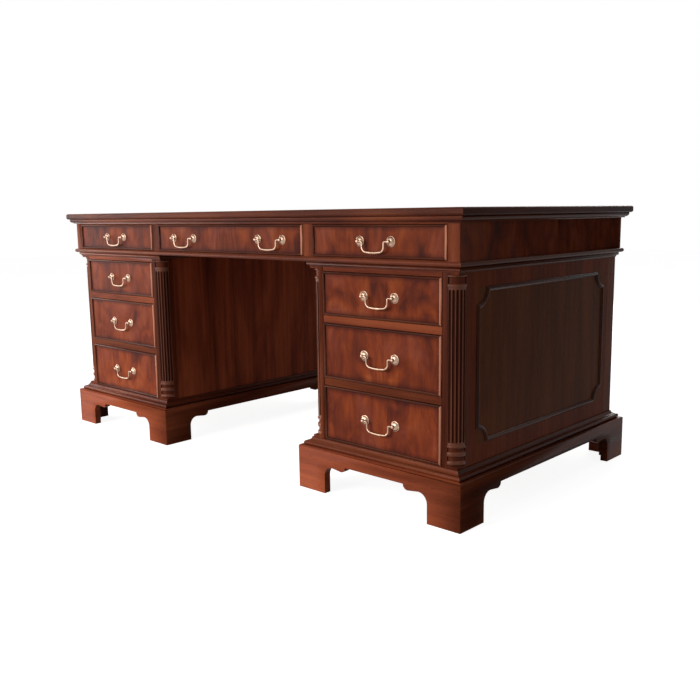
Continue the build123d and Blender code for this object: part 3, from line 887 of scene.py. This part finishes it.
POST_PROFILE = (
    (14.0, 0.0),
    (14.0, 0.7),
    (13.7, 1.2),
    (13.1, 1.5),
    (12.5, 1.55),
    (12.1, 1.9),
    (11.9, 2.5),
    (11.2, 3.6),
    (9.9, 4.8),
    (8.2, 5.9),
    (6.3, 6.7),
    (4.9, 7.1),
    (4.2, 7.5),
    (4.0, 8.0),
    (4.2, 8.5),
    (4.6, 9.2),
    (4.9, 10.2),
    (5.0, 11.0),
    (4.85, 12.2),
    (4.4, 13.4),
    (3.6, 14.4),
    (2.5, 15.1),
    (1.2, 15.4),
    (0.3, 15.5),
)
WASHER_PROFILE = ((7.0, 0.0), (7.0, 0.7), (6.6, 1.0))
NUT_PROFILE = ((5.2, 1.0), (5.5, 1.3), (5.5, 3.4), (5.1, 3.8))
SHANK_PROFILE = ((2.4, 3.0), (2.4, 4.9), (2.0, 5.4), (1.0, 5.6))

# The bail's pin and collar: distance in from the post's axis, and radius
BAIL_PIN = ((-1.0, 1.9), (3.0, 1.9), (5.2, 1.9), (5.6, 3.3), (6.2, 3.6), (6.9, 3.3), (7.4, 2.6))
BAIL_INSET = 15.5
BAIL_DROP = 29.0
BAIL_BOW = 1.6
BAIL_SHOULDER = 5.0
BAIL_CORNER = 14.0
BAIL_SIDES = 14
BAIL_LEG_RADIUS = 2.45
BAIL_CORNER_RADIUS = 2.90
BAIL_FOOT_RADIUS = 3.50
BAIL_FOOT_TAPER = 0.60


def bail_line():
    """Points along one half of the bail, from its pin to near its middle, and the radius at each."""
    leg = POST_SPREAD - BAIL_INSET
    bend = BAIL_CORNER - BAIL_DROP + BAIL_BOW
    turn_in = (leg + BAIL_SHOULDER, -BAIL_SHOULDER)
    shoulder = arc(turn_in, BAIL_SHOULDER, start=90, turn=90, steps=7)
    corner = arc((leg - BAIL_CORNER, bend), BAIL_CORNER, start=0, turn=-90, steps=12)
    half = [(POST_SPREAD - inwards, 0) for inwards, radius in BAIL_PIN] + shoulder + corner
    radii = [radius for inwards, radius in BAIL_PIN] + [BAIL_LEG_RADIUS] * len(shoulder)
    swell = (BAIL_CORNER_RADIUS - BAIL_LEG_RADIUS) / (len(corner) - 1)
    radii += [BAIL_LEG_RADIUS + swell * step for step in range(len(corner))]
    for share in (0.75, 0.5, 0.25):
        half.append(((leg - BAIL_CORNER) * share, BAIL_BOW * share * share - BAIL_DROP))
        radii.append(BAIL_FOOT_RADIUS - BAIL_FOOT_TAPER * share)
    return half, radii


def bail_form():
    """The bail, hanging from its pivot."""
    half, radii = bail_line()
    line = half + [(0.0, -BAIL_DROP)] + [(-across, up) for across, up in reversed(half)]
    sizes = radii + [BAIL_FOOT_RADIUS] + list(reversed(radii))
    vertices = []
    for index, ((across, up), size) in enumerate(zip(line, sizes)):
        before = line[max(index - 1, 0)]
        after = line[min(index + 1, len(line) - 1)]
        ahead = Vector((after[0] - before[0], after[1] - before[1])).normalized()
        for step in range(BAIL_SIDES):
            angle = 2 * math.pi * step / BAIL_SIDES
            out = size * math.cos(angle)
            vertices.append((across - ahead.y * out, size * math.sin(angle), up + ahead.x * out))
    return vertices, tube(len(line), BAIL_SIDES)


post = turned(POST_PROFILE, sides=36)
fastener = (
    turned(WASHER_PROFILE, sides=28),
    turned(NUT_PROFILE, sides=6),
    turned(SHANK_PROFILE, sides=18),
)
bail = bail_form()
pivots = {}
for joint in frame["joints"]:
    if joint["type"] != "hinge":
        continue
    pivot = Vector(joint["pos_m"]) / MM
    pivots.setdefault(joint["parent"], []).append(pivot)
    swing = Gather()
    swing.add(bail, lambda v: Vector(v) + pivot)
    obj = piece(f"{joint['child']}_cast", swing, [brass_metal], joint["child"])
    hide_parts(joint["child"])

for body, places in pivots.items():
    name = body.removesuffix("_drawer")
    posts = Gather()
    nuts = Gather()
    for pivot in places:
        face = pivot.y + PIVOT_STAND
        back = face + FRONT_THICKNESS
        for middle in (pivot.x - POST_SPREAD, pivot.x + POST_SPREAD):
            posts.add(post, lambda v: Vector((middle + v[0], face - v[2], pivot.z + v[1])))
            for form in fastener:
                nuts.add(form, lambda v: Vector((middle + v[0], back + v[2], pivot.z - v[1])))
    obj = piece(f"{name}_turned_posts", posts, [brass_metal], body)
    crease(obj, degrees=55)
    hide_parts(f"{name}_handle_posts")
    obj = piece(f"{name}_nuts", nuts, [brass_metal], body)
    crease(obj, degrees=25)


# Lapped dovetails: the tails of the drawer sides, let into the ends of the fronts. A tail's neck and
# head are half widths, as shares of the pitch.

TAIL_LENGTH = 13.0
TAIL_PITCH = 27.0
TAIL_PROUD = 0.12
TAIL_DEPTH = 1.0
TAIL_NECK = 0.26
TAIL_HEAD = 0.37


def tail_form(pitch):
    """One tail on the plane of the drawer's side: across its length, up, and out of the wood."""
    neck = TAIL_NECK * pitch
    head = TAIL_HEAD * pitch
    outline = ((0.0, -neck), (0.0, neck), (TAIL_LENGTH, head), (TAIL_LENGTH, -head))
    vertices = [(*point, out) for out in (-TAIL_DEPTH, TAIL_PROUD) for point in outline]
    return vertices, tube(2, 4)


for body in drawer_bodies:
    name = body.removesuffix("_drawer")
    low, high = (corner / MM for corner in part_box(f"{name}_drawer_box"))
    count = round((high.z - low.z) / TAIL_PITCH)
    pitch = (high.z - low.z) / count
    tails = Gather()
    for edge, out in ((low.x, -1), (high.x, 1)):
        for tail in range(count):
            level = low.z + (tail + 0.5) * pitch
            tails.add(
                tail_form(pitch),
                lambda v: Vector((edge + out * v[2], low.y - v[0], level + out * v[1])),
            )
    obj = piece(f"{name}_dovetails", tails, [oak_y], body)
    crease(obj, degrees=30)


# Floor and world: white to the camera, dimmer as a source of light

FLOOR_REACH = 14.0
FLOOR_PAINT = (0.55, 0.55, 0.55, 1)
FLOOR_GLOW = 0.90
FLOOR_BOUNCE = (0.30, 0.29, 0.28, 1)
WORLD_LIGHT = 0.16
WORLD_WHITE = 1.0


def show(nodes, links, output, lit, seen):
    """Shows one shader to the light, and another to the camera, reflections and clear surfaces."""
    path = nodes.new("ShaderNodeLightPath")
    total = path.outputs["Is Camera Ray"]
    for name in ("Is Glossy Ray", "Is Transmission Ray"):
        node = nodes.new("ShaderNodeMath")
        node.operation = "MAXIMUM"
        links.new(total, node.inputs[0])
        links.new(path.outputs[name], node.inputs[1])
        total = node.outputs[0]
    chooser = nodes.new("ShaderNodeMixShader")
    for value, socket in zip((total, lit.outputs[0], seen.outputs[0]), chooser.inputs):
        links.new(value, socket)
    links.new(chooser.outputs[0], output.inputs["Surface"])


floor_mesh = bpy.data.meshes.new("floor")
floor_corners = [(x * FLOOR_REACH, y * FLOOR_REACH, 0) for x, y in ((-1, -1), (1, -1), (1, 1), (-1, 1))]
floor_mesh.from_pydata(floor_corners, [], [(0, 1, 2, 3)])
floor = bpy.data.objects.new("floor", floor_mesh)
bpy.context.scene.collection.objects.link(floor)
floor_material = bpy.data.materials.new("pale_floor")
floor_mesh.materials.append(floor_material)
nodes, links, output = emptied(floor_material, "ShaderNodeOutputMaterial")
paint = nodes.new("ShaderNodeBsdfDiffuse")
paint.inputs["Color"].default_value = FLOOR_PAINT
glow = nodes.new("ShaderNodeEmission")
glow.inputs["Strength"].default_value = FLOOR_GLOW
seen_floor = nodes.new("ShaderNodeAddShader")
links.new(paint.outputs[0], seen_floor.inputs[0])
links.new(glow.outputs[0], seen_floor.inputs[1])
lit_floor = nodes.new("ShaderNodeBsdfDiffuse")
lit_floor.inputs["Color"].default_value = FLOOR_BOUNCE
show(nodes, links, output, lit_floor, seen_floor)

world = bpy.data.worlds.new("studio")
bpy.context.scene.world = world
nodes, links, output = emptied(world, "ShaderNodeOutputWorld")
skies = []
for strength in (WORLD_LIGHT, WORLD_WHITE):
    sky = nodes.new("ShaderNodeBackground")
    sky.inputs["Color"].default_value = (1, 1, 1, 1)
    sky.inputs["Strength"].default_value = strength
    skies.append(sky)
show(nodes, links, output, *skies)


# Lamps: name, place, target, width and height, and power

LAMPS = (
    ("key", (-1.3, -4.3, 1.7), (0.0, -0.4, 0.35), (3.6, 2.2), 152),
    ("left", (-3.7, -2.4, 0.9), (0.0, -0.4, 0.35), (2.2, 1.6), 36),
    ("far_left", (-4.3, -0.9, 1.2), (0.0, -0.4, 0.4), (2.0, 1.8), 55),
    ("back_fill", (-0.9, 4.4, 1.7), (-0.2, 0.4, 0.4), (2.4, 2.0), 80),
    ("top_fill", (0.0, -0.6, 3.8), (0.0, -0.2, 0.4), (3.0, 3.0), 20),
)
for name, place, target, size, power in LAMPS:
    light = bpy.data.lights.new(name, "AREA")
    light.shape = "RECTANGLE"
    light.size, light.size_y = size
    light.energy = power
    obj = bpy.data.objects.new(name, light)
    obj.location = place
    obj.rotation_mode = "QUATERNION"
    obj.rotation_quaternion = (Vector(target) - Vector(place)).to_track_quat("-Z", "Y")
    bpy.context.scene.collection.objects.link(obj)


# Camera: angles in degrees

CAMERA_PLACE = (2.0173, -2.0382, 0.7793)
CAMERA_TURN = 42.9186
CAMERA_DIP = 9.3619
CAMERA_ROLL = -0.8194

camera_data = bpy.data.cameras.new("camera")
camera_data.lens = 42.707
camera_data.sensor_width = 36.0
camera = bpy.data.objects.new("camera", camera_data)
bpy.context.scene.collection.objects.link(camera)
camera.matrix_world = (
    Matrix.Translation(CAMERA_PLACE)
    @ Matrix.Rotation(math.radians(CAMERA_TURN), 4, "Z")
    @ Matrix.Rotation(math.radians(90 - CAMERA_DIP), 4, "X")
    @ Matrix.Rotation(math.radians(CAMERA_ROLL), 4, "Z")
)
bpy.context.scene.camera = camera
bpy.context.scene.view_settings.view_transform = "Standard"
